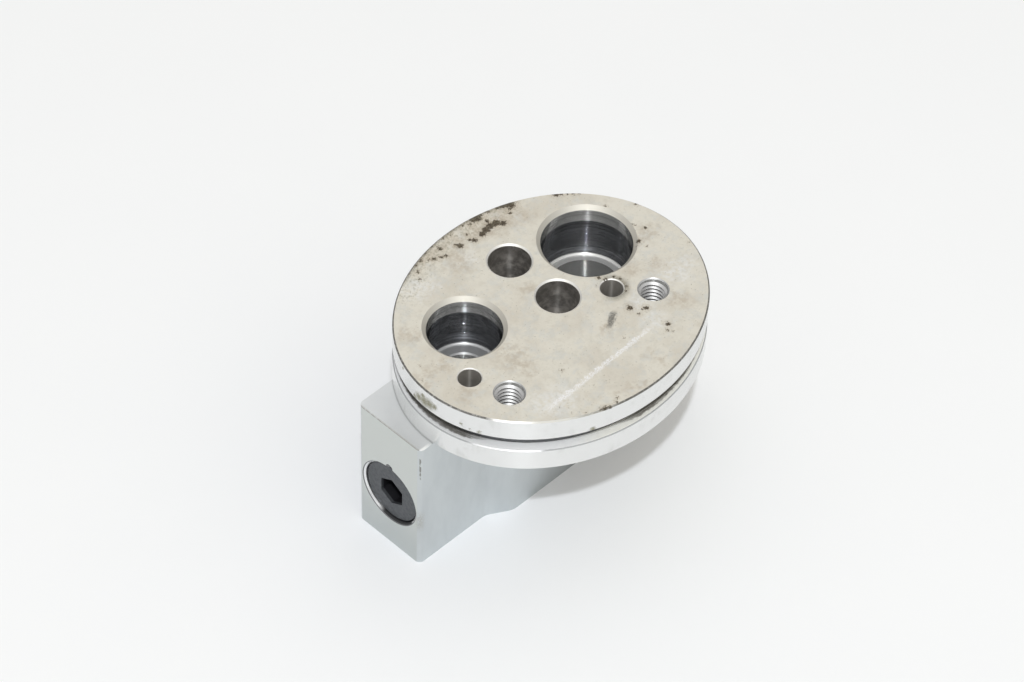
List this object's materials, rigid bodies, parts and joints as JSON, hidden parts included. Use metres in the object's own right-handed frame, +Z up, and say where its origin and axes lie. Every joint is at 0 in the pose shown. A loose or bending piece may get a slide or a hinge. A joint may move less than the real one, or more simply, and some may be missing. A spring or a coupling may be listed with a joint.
{
  "type": "thermostatic expansion valve",
  "caption": "Block type thermostatic expansion valve with an oval sealing flange, pipe ports, an adjusting plug and a thermal head.",
  "frame": {"origin": "on the base face, midway between the two fixing screw holes", "axes": "+X along the valve axis from the adjusting plug to the thermal head, +Z up out of the pipe face, +Y away from the side where the flange overhangs most"},
  "size_m": [0.0789, 0.0573, 0.048],
  "materials": {
    "machined_aluminium": "milled, satin on the block and bright on the flange edge",
    "blackened_steel": "dark satin",
    "stainless_sheet": "pressed, satin",
    "spring_steel": "drawn wire",
    "polished_steel": "ground and polished",
    "turned_aluminium": "turned",
    "brass": "turned",
    "black_rubber": "moulded",
    "white_polymer": "turned"
  },
  "bodies": {
    "housing": {"valve_body": "machined_aluminium", "adjusting_plug": "blackened_steel", "plug_o_ring": "black_rubber", "superheat_spring": "spring_steel", "seat_ring": "brass", "rod_o_ring": "black_rubber", "backing_washer": "white_polymer", "star_clip": "spring_steel", "head_lower_cup": "stainless_sheet", "head_o_ring": "black_rubber", "diaphragm": "stainless_sheet", "head_upper_cup": "stainless_sheet", "charge_plug": "polished_steel"},
    "valve_train": {"valve_ball": "polished_steel", "ball_carrier": "brass", "damper_ring": "spring_steel", "push_rod": "polished_steel", "sensing_stem": "turned_aluminium", "stop_plate": "brass"}
  },
  "joints": [
    {"name": "valve_stroke", "type": "slide", "parent": "housing", "child": "valve_train", "axis": [-1, 0, 0], "range_m": [0, 0.0008], "stiffness_N_per_m": 8000, "springref_m": -0.0025, "deforming": ["superheat_spring", "diaphragm"]}
  ]
}
